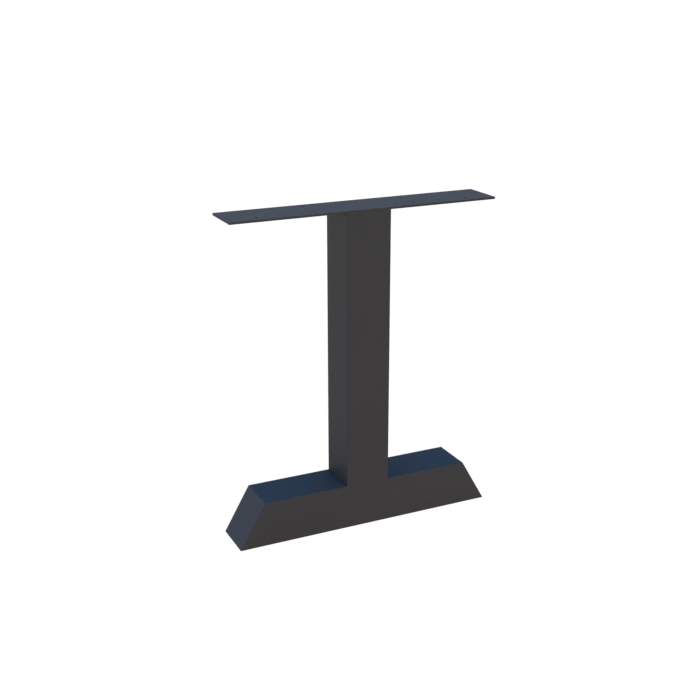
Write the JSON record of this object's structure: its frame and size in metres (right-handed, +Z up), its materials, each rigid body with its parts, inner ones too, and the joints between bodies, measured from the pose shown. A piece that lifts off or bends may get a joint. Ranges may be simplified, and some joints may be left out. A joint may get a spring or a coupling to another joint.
{
  "type": "table leg",
  "caption": "T-shaped steel table leg: a square tube column on a wide foot with slanted ends, under a flat plate with screw holes for the table top, with levelling nuts below.",
  "frame": {"origin": "centre of the foot's underside, on the floor", "axes": "+Z up along the column, +X along the foot and the top plate, +Y from front to back"},
  "size_m": [0.6, 0.1, 0.71],
  "materials": {
    "powder_coat": "matt fine-textured powder coat, near black",
    "bare_steel": "bright zinc-plated nut"
  },
  "bodies": {
    "root": {"top_plate": "powder_coat", "column": "powder_coat", "foot_beam": "powder_coat", "end_plate_left": "powder_coat", "end_plate_right": "powder_coat", "levelling_nut_front_left": "bare_steel", "levelling_nut_front_right": "bare_steel", "levelling_nut_back_left": "bare_steel", "levelling_nut_back_right": "bare_steel"}
  },
  "joints": []
}
